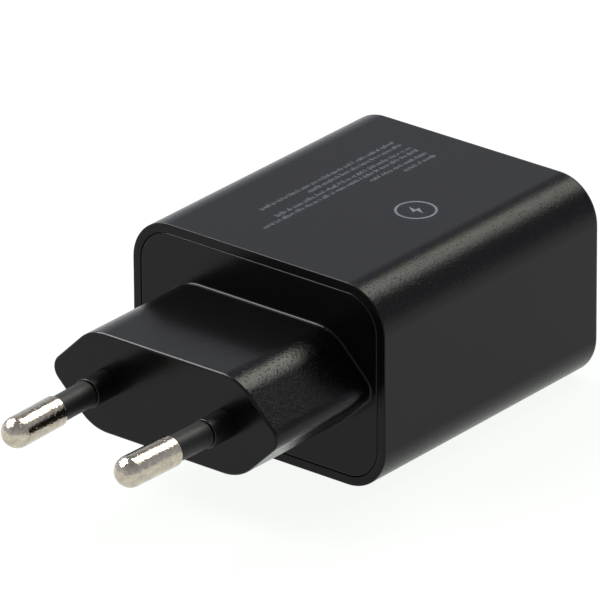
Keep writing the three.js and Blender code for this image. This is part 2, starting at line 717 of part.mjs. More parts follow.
// Square leadless chip on the back of the port board
function portController() {
  const backY = PORT_BOARD_Y + BOARD_THICKNESS;
  return box([-2, 2], [backY, backY + 0.8], [MID_Z + 4, MID_Z + 8]);
}

// ---------- Assembly ----------

addPiece('housing_shell', housingShell(), BLACK_PLASTIC);
addPiece('rear_cover', rearCover(), BLACK_PLASTIC);
addPin(-1, 'left');
addPin(1, 'right');

addPiece('usb_a_shell', socketShell(USB_A_OPENING, USB_A_X), SOCKET_STEEL);
addPiece('usb_a_tongue', usbATongue(), INSULATOR_BLACK);
CONTACT_X.forEach((x, i) => addPiece(`usb_a_contact_${i + 1}`, leafContact(x), GOLD_PLATE));
addPiece('usb_c_shell', socketShell(USB_C_OPENING, USB_C_X), SOCKET_STEEL);
addPiece('usb_c_tongue', usbCTongue(), INSULATOR_BLACK);

addPiece('port_board', portBoard(), BOARD_GREEN);
addPiece('port_controller', portController(), CHIP_BLACK);
addPiece('board_header', boardHeader(), INSULATOR_BLACK);
addPiece('main_board', mainBoard(), BOARD_GREEN);
addPiece('insulation_sheet', insulationSheet(), SHEET_CLEAR);

addPiece('transformer_core_lower', transformerCore(false), FERRITE);
addPiece('transformer_core_upper', transformerCore(true), FERRITE);
addPiece('transformer_bobbin', transformerBobbin(), BOBBIN);
addPiece('transformer_winding', transformerWinding(), TAPE_YELLOW);

[-1, 1].forEach((side, i) => {
  const inputCan = capacitorCan(INPUT_CAPACITOR.radius, INPUT_CAPACITOR.height);
  const outputCan = capacitorCan(OUTPUT_CAPACITOR.radius, OUTPUT_CAPACITOR.height);
  addPiece(`input_capacitor_${i + 1}`, standingAt(inputCan, INPUT_CAPACITOR, side), CAN_BLACK);
  addPiece(`output_capacitor_${i + 1}`, standingAt(outputCan, OUTPUT_CAPACITOR, side), CAN_SILVER);
});
addPiece('fuse', standingAt(fuseBody(), FUSE), FUSE_BROWN);
addPiece('filter_inductor_core', standingAt(filterInductorCore(), DRUM), FERRITE);
addPiece('filter_inductor_winding', standingAt(filterInductorWinding(), DRUM), COPPER);
addPiece('safety_capacitor', standingAt(safetyCapacitor(), DISC), DISC_BLUE);
for (const { name, length, width, height, legs, x, y } of CHIPS) {
  addPiece(name, underBoard(chip(length, width, height, legs), x, y), CHIP_BLACK);
}

export default group;
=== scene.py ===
"""USB wall charger with a fixed two-pin Euro plug: visual pieces, materials, light and camera.

Shapes are worked out in millimetres, in the frame's axes, and scaled to metres as each piece is made.
The port face looks along -Y, the plug pins point along +Y and the label side faces up.
"""

import json
import math
import random

import bmesh
import bpy
from mathutils import Matrix, Vector


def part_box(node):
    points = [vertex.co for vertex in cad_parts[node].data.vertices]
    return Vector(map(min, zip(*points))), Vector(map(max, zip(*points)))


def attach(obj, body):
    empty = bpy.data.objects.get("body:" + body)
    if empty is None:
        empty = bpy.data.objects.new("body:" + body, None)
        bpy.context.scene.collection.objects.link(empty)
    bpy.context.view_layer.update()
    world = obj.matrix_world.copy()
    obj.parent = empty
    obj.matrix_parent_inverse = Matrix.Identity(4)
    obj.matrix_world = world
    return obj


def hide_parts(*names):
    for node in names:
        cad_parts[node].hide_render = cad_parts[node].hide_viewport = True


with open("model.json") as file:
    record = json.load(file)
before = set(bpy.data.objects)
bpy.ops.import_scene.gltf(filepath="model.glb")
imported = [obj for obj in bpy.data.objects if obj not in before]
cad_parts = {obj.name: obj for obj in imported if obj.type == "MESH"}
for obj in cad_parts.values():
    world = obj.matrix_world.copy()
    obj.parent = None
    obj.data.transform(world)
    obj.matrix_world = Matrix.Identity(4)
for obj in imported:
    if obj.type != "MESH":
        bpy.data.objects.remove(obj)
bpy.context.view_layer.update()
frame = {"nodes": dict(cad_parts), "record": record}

# ---------- Driving dimensions, in millimetres ----------

MM = 0.001


def box_mm(node):
    """Low and high corners of a CAD node's box."""
    low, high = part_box(node)
    return low / MM, high / MM


housing_low, housing_high = box_mm("housing_shell")
cover_low = box_mm("rear_cover")[0]

# Housing
BODY_WIDTH = housing_high.x - housing_low.x
BODY_HEIGHT = housing_high.z - housing_low.z
MID_Z = (housing_high.z + housing_low.z) / 2
TOP_Z = housing_high.z
PORT_Y = housing_low.y
RIM_Y = housing_high.y
BODY_CORNER_RADIUS = 5.9
PORT_EDGE_RADIUS = 0.7
WALL = 1.8
RIM_WIDTH = 1.2
RIB_THICKNESS = 1.1
BOARD_RAIL_DEPTH = 1.8
BOARD_STOP_DEPTH = 2.6
BOARD_STOP_HEIGHT = 6

# Rear cover and plug nose: the cover's edge is pressed up to the rim, with a hair line between them
SEAM_GAP = 0.07
COVER_INSET = RIM_WIDTH + SEAM_GAP
COVER_BACK_Y = cover_low.y
NOSE_Y = RIM_Y + 18.1
NOSE_HEIGHT = 13.4
NOSE_FLAT_WIDTH = 23.2
NOSE_TIP_TO_TIP = 36.8
NOSE_CORNER_RADIUS = 6
NOSE_TIP_RADIUS = 2
NOSE_WALL = 1.7
NOSE_FRONT_WALL = 2.2

# Plug pins: distances along a pin are counted from the front face of the nose
PIN_LENGTH = 19
PIN_RADIUS = 2
PIN_ROOT_SPACING = 18.6
PIN_TIP_SPACING = 17.6
PIN_TILT = math.atan((PIN_ROOT_SPACING - PIN_TIP_SPACING) / 2 / PIN_LENGTH)
SHANK_RADIUS = 0.95
COLLAR_LENGTH = 3.6
COLLAR_RADIUS = 1.9
SLEEVE_END = 9.6
SLEEVE_RADIUS = 1.7
SLEEVE_NECK_RADIUS = 1.35
SLEEVE_DEPTH = 2
SLEEVE_CLEARANCE = 0.1
SHANK_CLEARANCE = 0.13
BOSS_DEPTH = 5
BOSS_RADIUS = 2.6
RIVET_RADIUS = 1.5
RIVET_THICKNESS = 0.7

# Small edge roundings of the mouldings and metal parts
RIM_OUTER_EDGE = 0.1
RIM_INNER_EDGE = 0.06
PLATE_EDGE = 0.16
NOSE_ROOT_FILLET = 0.25
NOSE_FRONT_EDGE = 0.3
COLLAR_FRONT_EDGE = 0.09
METAL_EDGE = 0.25
SOCKET_LEAD_IN = 0.2
FLAT_MARGIN = 0.06  # ring just inside each flat area, so that its shading stays flat up to the edge

# Sockets
USB_A_LOW, USB_A_HIGH = box_mm("usb_a_shell")
USB_C_LOW, USB_C_HIGH = box_mm("usb_c_shell")
SOCKET_WALL = 0.3
SOCKET_CLEARANCE = 0.15
USB_A_RADIUS = 0.5
USB_C_RADIUS = 1.27
USB_A_TONGUE = {"width": 11.1, "thickness": 1.84, "length": 7.3, "middle_z": MID_Z + 1.2}
USB_C_TONGUE = {"width": 6.69, "thickness": 0.7, "length": 5.7, "middle_z": MID_Z}
CONTACTS = [f"usb_a_contact_{number}" for number in (1, 2, 3, 4)]
CONTACT_THICKNESS = 0.25
USB_C_PADS_PER_FACE = 12
USB_C_PAD_PITCH = 0.5

# Print on the label side: each row of small print is (x of its middle, y where it ends)
PRINT_THICKNESS = 0.008
ROW_START_Y = -33.6
ROWS = [(7.9, -7.7), (6.7, -15.0), (5.2, -8.3), (4.1, -3.4), (2.7, -23.75), (1.35, -29.5)]
ROW_HEIGHT = 0.75
TICK_GAP = 0.17
WORD_GAP = 0.25
MARK_CENTRE = (-7.2, -19.2)
MARK_RADIUS = 2.7
MARK_LINE = 0.32


# ---------- Outlines: lists of (x, z) points, anticlockwise ----------

def rounded_outline(corners, steps):
    """Closed outline through the corners, each given as (x, z, radius)."""
    points = []
    for i, (x, z, radius) in enumerate(corners):
        corner = Vector((x, z))
        before = (Vector(corners[i - 1][:2]) - corner).normalized()
        after = (Vector(corners[(i + 1) % len(corners)][:2]) - corner).normalized()
        half_angle = before.angle(after) / 2
        centre = corner + (before + after).normalized() * (radius / math.sin(half_angle))
        start = corner + before * (radius / math.tan(half_angle)) - centre
        turn = math.pi - 2 * half_angle
        for k in range(steps + 1):
            points.append(centre + Matrix.Rotation(turn * k / steps, 2) @ start)
    return points


def rounded_rectangle(width, height, radius, x=0.0, z=0.0, steps=8):
    """Rectangle about (x, z), with rounded corners."""
    w, h = width / 2, height / 2
    return rounded_outline([
        (x - w, z - h, radius),
        (x + w, z - h, radius),
        (x + w, z + h, radius),
        (x - w, z + h, radius),
    ], steps)


def body_outline(inset):
    """Cross-section of the housing, moved inwards by the inset."""
    width, height = BODY_WIDTH - 2 * inset, BODY_HEIGHT - 2 * inset
    return rounded_rectangle(width, height, BODY_CORNER_RADIUS - inset, 0, MID_Z, steps=18)


def nose_outline(inset):
    """Six-sided section of the plug nose, moved inwards by the inset."""
    height = NOSE_HEIGHT / 2
    slope = (NOSE_TIP_TO_TIP - NOSE_FLAT_WIDTH) / 2
    tip = NOSE_TIP_TO_TIP / 2 - inset / math.sin(math.atan2(height, slope))
    top = height - inset
    flat = tip - slope * top / height
    corner_radius = NOSE_CORNER_RADIUS - inset
    tip_radius = NOSE_TIP_RADIUS - inset
    return rounded_outline([
        (tip, MID_Z, tip_radius),
        (flat, MID_Z + top, corner_radius),
        (-flat, MID_Z + top, corner_radius),
        (-tip, MID_Z, tip_radius),
        (-flat, MID_Z - top, corner_radius),
        (flat, MID_Z - top, corner_radius),
    ], steps=12)


def arc(centre, radius, start, end, steps=5):
    """Points on an arc about centre, from start to end degrees, with both ends."""
    angles = [math.radians(start + (end - start) * k / steps) for k in range(steps + 1)]
    return [(centre[0] + radius * math.cos(a), centre[1] + radius * math.sin(a)) for a in angles]


def smooth_line(points, steps=6):
    """Smooth curve through the (y, z) points, with both ends."""
    points = [Vector(p) for p in points]
    padded = points[:1] + points + points[-1:]
    line = []
    for before, start, end, after in zip(padded, padded[1:], padded[2:], padded[3:]):
        for k in range(steps):
            t = k / steps
            line.append(0.5 * (
                2 * start
                + (end - before) * t
                + (2 * before - 5 * start + 4 * end - after) * t ** 2
                + (3 * start - before - 3 * end + after) * t ** 3))
    return line + points[-1:]


# ---------- Closed surfaces ----------

class Surface:
    """A mesh built ring by ring, in millimetres."""

    def __init__(self):
        self.bm = bmesh.new()
        self.look_number = 0

    def ring(self, points):
        return [self.bm.verts.new(p) for p in points]

    def skin(self, rings):
        """Quads between each ring and the next."""
        for lower, upper in zip(rings, rings[1:]):
            for i in range(len(lower)):
                j = (i + 1) % len(lower)
                face = self.bm.faces.new((lower[i], lower[j], upper[j], upper[i]))
                face.material_index = self.look_number
        return rings

    def fill(self, *rings):
        """Flat area inside the first ring, with the other rings as holes in it."""
        edges = []
        for ring in rings:
            for a, b in zip(ring, ring[1:] + ring[:1]):
                edges.append(self.bm.edges.get((a, b)) or self.bm.edges.new((a, b)))
        bmesh.ops.triangle_fill(self.bm, use_beauty=True, edges=edges)

    def along_y(self, outline, profile):
        """Rings of outline(inset) for a profile of (inset, y)."""
        return self.skin([
            self.ring([(p.x, y, p.y) for p in outline(inset)]) for inset, y in profile])

    def turned(self, profile, place, segments, flat_at=()):
        """Rings about the Y axis for a profile of (radius, y), moved by place.

        flat_at maps a ring's number to the y of the flat face that it lies in after the move."""
        flat_at = dict(flat_at)
        rings = []
        for number, (radius, y) in enumerate(profile):
            angles = [2 * math.pi * k / segments for k in range(segments)]
            points = [place @ Vector((radius * math.cos(a), y, radius * math.sin(a))) for a in angles]
            if number in flat_at:
                points = [Vector((p.x, flat_at[number], p.z)) for p in points]
            rings.append(self.ring(points))
        return self.skin(rings)

    def prism(self, outline, low, high):
        """Upright prism over an outline of (x, y)."""
        rings = self.skin([self.ring([(x, y, z) for x, y in outline]) for z in (low, high)])
        self.cap(rings)

    def cap(self, rings):
        """Closes both ends of a skin."""
        self.bm.faces.new(rings[0])
        self.bm.faces.new(rings[-1])

    def ribbon(self, line, width, thickness, place):
        """Strip with soft long edges along a line of (y, z), centred on x = 0, then moved by place."""
        section = rounded_rectangle(width, thickness, 0.4 * thickness, steps=2)
        rings = []
        for i, point in enumerate(line):
            ahead = (line[min(i + 1, len(line) - 1)] - line[max(i - 1, 0)]).normalized()
            normal = Vector((-ahead.y, ahead.x))
            rings.append(self.ring([place @ Vector((p.x, *(point + normal * p.y))) for p in section]))
        self.cap(self.skin(rings))

    def block(self, low, high, edge):
        """Box between two corners with bevelled edges."""
        low, high = Vector(low), Vector(high)
        matrix = Matrix.Translation((low + high) / 2) @ Matrix.Diagonal((*(high - low), 1))
        corners = bmesh.ops.create_cube(self.bm, size=1, matrix=matrix)["verts"]
        edges = list({line for corner in corners for line in corner.link_edges})
        bmesh.ops.bevel(self.bm, geom=edges, offset=edge, segments=2, profile=0.5, affect="EDGES")

    def piece(self, name, body, looks, slot=None, replaces=(), sharp_above=35):
        """The finished object: outward normals, smooth within its sharp edges, riding on a body.

        Faces made while look_number was 0, 1, ... get the first, second, ... of the looks."""
        bmesh.ops.recalc_face_normals(self.bm, faces=self.bm.faces)
        bmesh.ops.scale(self.bm, vec=(MM, MM, MM), verts=self.bm.verts)
        mesh = bpy.data.meshes.new(name)
        self.bm.to_mesh(mesh)
        self.bm.free()
        for look in looks:
            mesh.materials.append(look)
        mesh.shade_smooth()
        mesh.set_sharp_from_angle(angle=math.radians(sharp_above))
        piece = bpy.data.objects.new(name, mesh)
        bpy.context.scene.collection.objects.link(piece)
        weighted = piece.modifiers.new("even_normals", "WEIGHTED_NORMAL")
        weighted.keep_sharp = True
        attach(piece, body)
        if replaces:
            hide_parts(*replaces)
        return piece


# ---------- Materials ----------

def noise(tree, scale, detail=2.0, roughness=0.5, stretch=None):
    """Noise in the object's own space; scale is in features per metre. Gives its Factor socket."""
    coordinates = tree.nodes.new("ShaderNodeTexCoord")
    texture = tree.nodes.new("ShaderNodeTexNoise")
    texture.inputs["Scale"].default_value = scale
    texture.inputs["Detail"].default_value = detail
    texture.inputs["Roughness"].default_value = roughness
    source = coordinates.outputs["Object"]
    if stretch:
        mapping = tree.nodes.new("ShaderNodeMapping")
        mapping.inputs["Scale"].default_value = stretch
        tree.links.new(source, mapping.inputs["Vector"])
        source = mapping.outputs["Vector"]
    tree.links.new(source, texture.inputs["Vector"])
    return texture.outputs["Fac"]


def spread(tree, source, low, high):
    """The source's middle range, mapped to low..high."""
    node = tree.nodes.new("ShaderNodeMapRange")
    node.inputs["From Min"].default_value = 0.3
    node.inputs["From Max"].default_value = 0.7
    node.inputs["To Min"].default_value = low
    node.inputs["To Max"].default_value = high
    tree.links.new(source, node.inputs["Value"])
    return node.outputs["Result"]


def colour_spread(tree, source, dark, light):
    """The source's middle range, mapped to a colour between dark and light."""
    node = tree.nodes.new("ShaderNodeValToRGB")
    node.color_ramp.elements[0].position = 0.3
    node.color_ramp.elements[0].color = (*dark, 1)
    node.color_ramp.elements[1].position = 0.7
    node.color_ramp.elements[1].color = (*light, 1)
    tree.links.new(source, node.inputs["Fac"])
    return node.outputs["Color"]


def bump(tree, layers, strength=None):
    """Stacked bumps; each layer is (height socket, depth in metres). Gives a Normal socket.

    strength is a socket that scales them all."""
    normal = None
    for height, depth in layers:
        node = tree.nodes.new("ShaderNodeBump")
        node.inputs["Distance"].default_value = depth
        node.inputs["Strength"].default_value = 1.0
        tree.links.new(height, node.inputs["Height"])
        if strength:
            tree.links.new(strength, node.inputs["Strength"])
        if normal:
            tree.links.new(normal, node.inputs["Normal"])
        normal = node.outputs["Normal"]
    return normal


def shader(name, metallic=0.0, specular=0.5):
    """A material with its Principled shader: gives both and the node tree."""
    look = bpy.data.materials.new(name)
    look.use_nodes = True
    principled = look.node_tree.nodes["Principled BSDF"]
    principled.inputs["Metallic"].default_value = metallic
    principled.inputs["Specular IOR Level"].default_value = specular
    return look, principled, look.node_tree


def roundness(tree, least):
    """1 on rounded corners, which look between the X and Z axes, and least on flat sides and ends."""
    geometry = tree.nodes.new("ShaderNodeNewGeometry")
    split = tree.nodes.new("ShaderNodeSeparateXYZ")
    product = tree.nodes.new("ShaderNodeMath")
    product.operation = "MULTIPLY"
    size = tree.nodes.new("ShaderNodeMath")
    size.operation = "ABSOLUTE"
    fade = tree.nodes.new("ShaderNodeMapRange")
    fade.inputs["From Max"].default_value = 0.3
    fade.inputs["To Min"].default_value = least
    tree.links.new(geometry.outputs["Normal"], split.inputs["Vector"])
    tree.links.new(split.outputs["X"], product.inputs[0])
    tree.links.new(split.outputs["Z"], product.inputs[1])
    tree.links.new(product.outputs["Value"], size.inputs[0])
    tree.links.new(size.outputs["Value"], fade.inputs["Value"])
    return fade.outputs["Result"]


def specks(tree, scale, share, radius):
    """Small round dots in a share of the cells of a cell pattern.

    scale is in cells per metre, and radius in cell widths."""
    coordinates = tree.nodes.new("ShaderNodeTexCoord")
    cells = tree.nodes.new("ShaderNodeTexVoronoi")
    cells.inputs["Scale"].default_value = scale
    dot = tree.nodes.new("ShaderNodeMapRange")
    dot.interpolation_type = "SMOOTHSTEP"
    dot.inputs["From Min"].default_value = radius
    dot.inputs["From Max"].default_value = 0.0
    chosen = tree.nodes.new("ShaderNodeMath")
    chosen.operation = "GREATER_THAN"
    chosen.inputs[1].default_value = 1 - share
    product = tree.nodes.new("ShaderNodeMath")
    product.operation = "MULTIPLY"
    tree.links.new(coordinates.outputs["Object"], cells.inputs["Vector"])
    tree.links.new(cells.outputs["Distance"], dot.inputs["Value"])
    tree.links.new(cells.outputs["Color"], chosen.inputs[0])
    tree.links.new(dot.outputs["Result"], product.inputs[0])
    tree.links.new(chosen.outputs["Value"], product.inputs[1])
    return product.outputs["Value"]


def moulded_plastic(name, colour, roughness, specular, grain, depth, speck_depth=0.0):
    """Moulded plastic with a fine grain, which is smoother on flat faces than on rounded corners.

    grain is in features per metre, depth is that of the grain in metres, and speck_depth is that of
    scattered dots that catch the light."""
    look, principled, tree = shader(name, specular=specular)
    cloud = noise(tree, scale=400, detail=3)
    fine = noise(tree, scale=grain, detail=2, roughness=0.6)
    dark, light = [[c * k for c in colour] for k in (0.85, 1.15)]
    tree.links.new(colour_spread(tree, cloud, dark, light), principled.inputs["Base Color"])
    tree.links.new(spread(tree, fine, roughness - 0.04, roughness + 0.04), principled.inputs["Roughness"])
    layers = [(fine, depth)]
    if speck_depth:
        layers.append((specks(tree, scale=2600, share=0.65, radius=0.34), speck_depth))
    tree.links.new(bump(tree, layers, roundness(tree, 0.15)), principled.inputs["Normal"])
    return look


def plated_metal(name, colour, roughness, along, mark_depth=0.000004, ripple_depth=0.00001):
    """Plated metal with fine marks drawn along one axis ("X", "Y" or "Z") and a rippled, spotted skin."""
    look, principled, tree = shader(name, metallic=1.0)
    stretch = [0.12 if axis == along else 1.0 for axis in "XYZ"]
    marks = noise(tree, scale=9000, detail=3, roughness=0.6, stretch=stretch)
    ripple = noise(tree, scale=2600, detail=2, roughness=0.45)
    cloud = noise(tree, scale=1300, detail=3, roughness=0.6)
    dark, light = [[c * k for c in colour] for k in (0.72, 1.08)]
    tree.links.new(colour_spread(tree, cloud, dark, light), principled.inputs["Base Color"])
    tree.links.new(spread(tree, cloud, roughness + 0.06, roughness - 0.04), principled.inputs["Roughness"])
    layers = [
        (ripple, ripple_depth),
        (specks(tree, scale=2400, share=0.45, radius=0.35), 0.7 * ripple_depth),
        (marks, mark_depth),
    ]
    tree.links.new(bump(tree, layers), principled.inputs["Normal"])
    return look


BLACK = (0.0012, 0.0012, 0.0013)
HOUSING_PLASTIC = moulded_plastic(
    "housing_plastic", BLACK, roughness=0.25, specular=0.155, grain=4500, depth=0.00003,
    speck_depth=0.000024)
PLUG_PLASTIC = moulded_plastic(
    "plug_plastic", BLACK, roughness=0.2, specular=0.18, grain=4500, depth=0.00003,
    speck_depth=0.000042)
COLLAR_PLASTIC = moulded_plastic(
    "collar_plastic", BLACK, roughness=0.32, specular=0.33, grain=7000, depth=0.000014)
SLEEVE_PLASTIC = moulded_plastic(
    "sleeve_plastic", (0.005, 0.005, 0.005), roughness=0.48, specular=0.31, grain=5000, depth=0.00003)
INSULATOR = moulded_plastic(
    "insulator_plastic", (0.006, 0.006, 0.0065), roughness=0.42, specular=0.35, grain=6000,
    depth=0.00001)
NICKEL = plated_metal(
    "nickel", (0.53, 0.475, 0.39), roughness=0.11, along="Y", mark_depth=0.000012, ripple_depth=0.000034)
SOCKET_STEEL = plated_metal("socket_steel", (0.45, 0.46, 0.47), roughness=0.28, along="X")
GOLD_PLATE = plated_metal("gold_plate", (0.8, 0.56, 0.22), roughness=0.24, along="Y")
PRINT_INK = moulded_plastic(
    "print_ink", (0.08, 0.085, 0.099), roughness=0.25, specular=0.16, grain=6500, depth=0.00001)


# ---------- Housing and rear cover ----------

def socket_hole(surface, low, high, radius):
    """Cut-out for a socket shell through the port wall, with a small lead-in at the port face."""
    width = high.x - low.x + 2 * SOCKET_CLEARANCE
    height = high.z - low.z + 2 * SOCKET_CLEARANCE
    radius += SOCKET_WALL + SOCKET_CLEARANCE
    middle_x, middle_z = (low.x + high.x) / 2, (low.z + high.z) / 2

    def outline(grow):
        return rounded_rectangle(width + 2 * grow, height + 2 * grow, radius + grow, middle_x, middle_z)

    edge = arc((SOCKET_LEAD_IN, PORT_Y + SOCKET_LEAD_IN), SOCKET_LEAD_IN, 270, 180, steps=4)
    profile = [(SOCKET_LEAD_IN + FLAT_MARGIN, PORT_Y)] + edge + [(0, PORT_Y + WALL)]
    return surface.along_y(outline, profile)


def housing_ribs(surface, side):
    """Rail under the main board and stop behind the port board, on one side wall."""
    wall = housing_high.x - WALL
    board_low, board_high = box_mm("main_board")
    stop_y = box_mm("port_board")[1].y + 0.1
    half_stop = BOARD_STOP_HEIGHT / 2
    ribs = [
        (BOARD_RAIL_DEPTH, board_low.y, board_high.y, board_low.z - RIB_THICKNESS, board_low.z),
        (BOARD_STOP_DEPTH, stop_y, stop_y + RIB_THICKNESS, MID_Z - half_stop, MID_Z + half_stop),
    ]
    root_in_wall, edge = 0.05, 0.15
    for depth, front_y, back_y, low_z, high_z in ribs:
        across = sorted((side * (wall - depth), side * (wall + root_in_wall)))
        surface.block((across[0], front_y, low_z), (across[1], back_y, high_z), edge)


def housing():
    """Outer shell with its socket holes and thin rim, hollow inside."""
    surface = Surface()
    port_edge = arc((PORT_EDGE_RADIUS, PORT_Y + PORT_EDGE_RADIUS), PORT_EDGE_RADIUS, 270, 180, steps=7)
    port_edge = [(PORT_EDGE_RADIUS + FLAT_MARGIN, PORT_Y)] + port_edge
    outer_edge = arc((RIM_OUTER_EDGE, RIM_Y - RIM_OUTER_EDGE), RIM_OUTER_EDGE, 180, 90)
    inner_edge = arc((RIM_WIDTH - RIM_INNER_EDGE, RIM_Y - RIM_INNER_EDGE), RIM_INNER_EDGE, 90, 0, steps=3)
    inside = [(RIM_WIDTH, COVER_BACK_Y), (WALL, COVER_BACK_Y), (WALL, PORT_Y + WALL)]
    skin = surface.along_y(body_outline, port_edge + outer_edge + inner_edge + inside)
    holes = [
        socket_hole(surface, USB_A_LOW, USB_A_HIGH, USB_A_RADIUS),
        socket_hole(surface, USB_C_LOW, USB_C_HIGH, USB_C_RADIUS),
    ]
    surface.fill(skin[0], *[hole[0] for hole in holes])
    surface.fill(skin[-1], *[hole[-1] for hole in holes])
    for side in (-1, 1):
        housing_ribs(surface, side)
    surface.piece("housing", "charger_body", [HOUSING_PLASTIC], "black_plastic", ["housing_shell"])


def pin_place(side):
    """Moves a solid made on the Y axis onto a pin's leaning axis."""
    root = Matrix.Translation((side * PIN_ROOT_SPACING / 2, NOSE_Y, MID_Z))
    return root @ Matrix.Rotation(side * PIN_TILT, 4, "Z")


def pin_collar(surface, side):
    """Collar outside the nose, stepped pin hole, and boss inside: one band of skin, root to root."""
    edge_centre = (COLLAR_RADIUS - COLLAR_FRONT_EDGE, COLLAR_LENGTH - COLLAR_FRONT_EDGE)
    front_edge = arc(edge_centre, COLLAR_FRONT_EDGE, 0, 90, steps=3)
    neck = SLEEVE_NECK_RADIUS + SLEEVE_CLEARANCE
    shank = SHANK_RADIUS + SHANK_CLEARANCE
    step = -SLEEVE_DEPTH - 2 * SLEEVE_CLEARANCE
    lead_in = 0.05
    inside = [
        (neck + lead_in, COLLAR_LENGTH),
        (neck, COLLAR_LENGTH - lead_in),
        (neck, step),
        (shank, step),
        (shank, -BOSS_DEPTH),
        (BOSS_RADIUS, -BOSS_DEPTH),
        (BOSS_RADIUS, -NOSE_FRONT_WALL),
    ]
    profile = [(COLLAR_RADIUS, 0)] + front_edge + inside
    flat_at = {0: NOSE_Y, len(profile) - 1: NOSE_Y - NOSE_FRONT_WALL}
    return surface.turned(profile, pin_place(side), 56, flat_at)


def rear_cover():
    """Plate inside the rim, with the hollow plug nose and the two pin collars moulded on it."""
    surface = Surface()
    plate_edge = arc((COVER_INSET + PLATE_EDGE, RIM_Y - PLATE_EDGE), PLATE_EDGE, 180, 90, steps=4)
    plate_margin = [(COVER_INSET + PLATE_EDGE + FLAT_MARGIN, RIM_Y)]
    plate = surface.along_y(body_outline, [(COVER_INSET, COVER_BACK_Y)] + plate_edge + plate_margin)
    root = arc((-NOSE_ROOT_FILLET, RIM_Y + NOSE_ROOT_FILLET), NOSE_ROOT_FILLET, 270, 360)
    front = arc((NOSE_FRONT_EDGE, NOSE_Y - NOSE_FRONT_EDGE), NOSE_FRONT_EDGE, 180, 90)
    root_margin = [(-NOSE_ROOT_FILLET - FLAT_MARGIN, RIM_Y)]
    front_margin = [(NOSE_FRONT_EDGE + FLAT_MARGIN, NOSE_Y)]
    nose = surface.along_y(nose_outline, root_margin + root + front + front_margin)
    hollow_ends = [(NOSE_WALL, NOSE_Y - NOSE_FRONT_WALL), (NOSE_WALL, COVER_BACK_Y)]
    hollow = surface.along_y(nose_outline, hollow_ends)
    surface.look_number = 1
    collars = [pin_collar(surface, side) for side in (-1, 1)]
    surface.fill(plate[-1], nose[0])
    surface.fill(nose[-1], *[collar[0] for collar in collars])
    surface.fill(hollow[0], *[collar[-1] for collar in collars])
    surface.fill(plate[0], hollow[-1])
    looks = [PLUG_PLASTIC, COLLAR_PLASTIC]
    surface.piece("plug_moulding", "charger_body", looks, "black_plastic", ["rear_cover"])


# ---------- Plug pins ----------

def pin_metal(side, side_name):
    """Bare head with a round tip, and a thin shank riveted at its inner end."""
    rivet_front = -BOSS_DEPTH - 1
    rivet_back = rivet_front - RIVET_THICKNESS
    dome = arc((0, PIN_LENGTH - PIN_RADIUS), PIN_RADIUS, 0, 89, steps=16)
    profile = [
        (0.02, rivet_back),
        (RIVET_RADIUS - 0.4, rivet_back),
        (RIVET_RADIUS, rivet_front - 0.3),
        (RIVET_RADIUS, rivet_front),
        (SHANK_RADIUS, rivet_front),
        (SHANK_RADIUS, SLEEVE_END),
        *arc((PIN_RADIUS - METAL_EDGE, SLEEVE_END + METAL_EDGE), METAL_EDGE, 270, 360, steps=4),
        *dome,
    ]
    surface = Surface()
    surface.cap(surface.turned(profile, pin_place(side), 64))
    surface.piece(f"pin_{side_name}_metal", "charger_body", [NICKEL], "nickel", [f"pin_{side_name}"])


def pin_sleeve(side, side_name):
    """Insulating sleeve: a barrel outside the collar and a neck inside it."""
    bore = SHANK_RADIUS + SLEEVE_CLEARANCE
    barrel_start = COLLAR_LENGTH + SLEEVE_CLEARANCE
    barrel_end = SLEEVE_END - 0.05
    edge = 0.12
    profile = [
        (bore, -SLEEVE_DEPTH),
        (SLEEVE_NECK_RADIUS, -SLEEVE_DEPTH),
        (SLEEVE_NECK_RADIUS, barrel_start),
        *arc((SLEEVE_RADIUS - edge, barrel_start + edge), edge, 270, 360, steps=3),
        *arc((SLEEVE_RADIUS - edge, barrel_end - edge), edge, 0, 90, steps=3),
        (bore, barrel_end),
    ]
    surface = Surface()
    rings = surface.turned(profile, pin_place(side), 56)
    surface.skin([rings[-1], rings[0]])
    replaced = [f"pin_sleeve_{side_name}"]
    surface.piece(f"sleeve_{side_name}", "charger_body", [SLEEVE_PLASTIC], "sleeve_plastic", replaced)


# ---------- Print on the label side ----------

def print_row(surface, random_state, x, end_y):
    """Row of upright ticks in word-like groups: a plain stand-in for a line of small print."""
    y = ROW_START_Y
    while y < end_y:
        for _ in range(random_state.randint(2, 9)):
            width = random_state.choice((0.07, 0.1, 0.14))
            low = random_state.choice((0.0, 0.0, 0.0, 0.12))
            high = random_state.choice((0.48, 0.52, 0.55, 0.75))
            outline = [
                (x - ROW_HEIGHT / 2 + low, y),
                (x - ROW_HEIGHT / 2 + high, y),
                (x - ROW_HEIGHT / 2 + high, y + width),
                (x - ROW_HEIGHT / 2 + low, y + width),
            ]
            surface.prism(outline, TOP_Z - PRINT_THICKNESS / 2, TOP_Z + PRINT_THICKNESS / 2)
            y += width + TICK_GAP
        y += WORD_GAP


def label_print():
    """All the rows of small print."""
    surface = Surface()
    random_state = random.Random(11)
    for x, end_y in ROWS:
        print_row(surface, random_state, x, end_y)
    surface.piece("label_rows", "charger_body", [PRINT_INK])


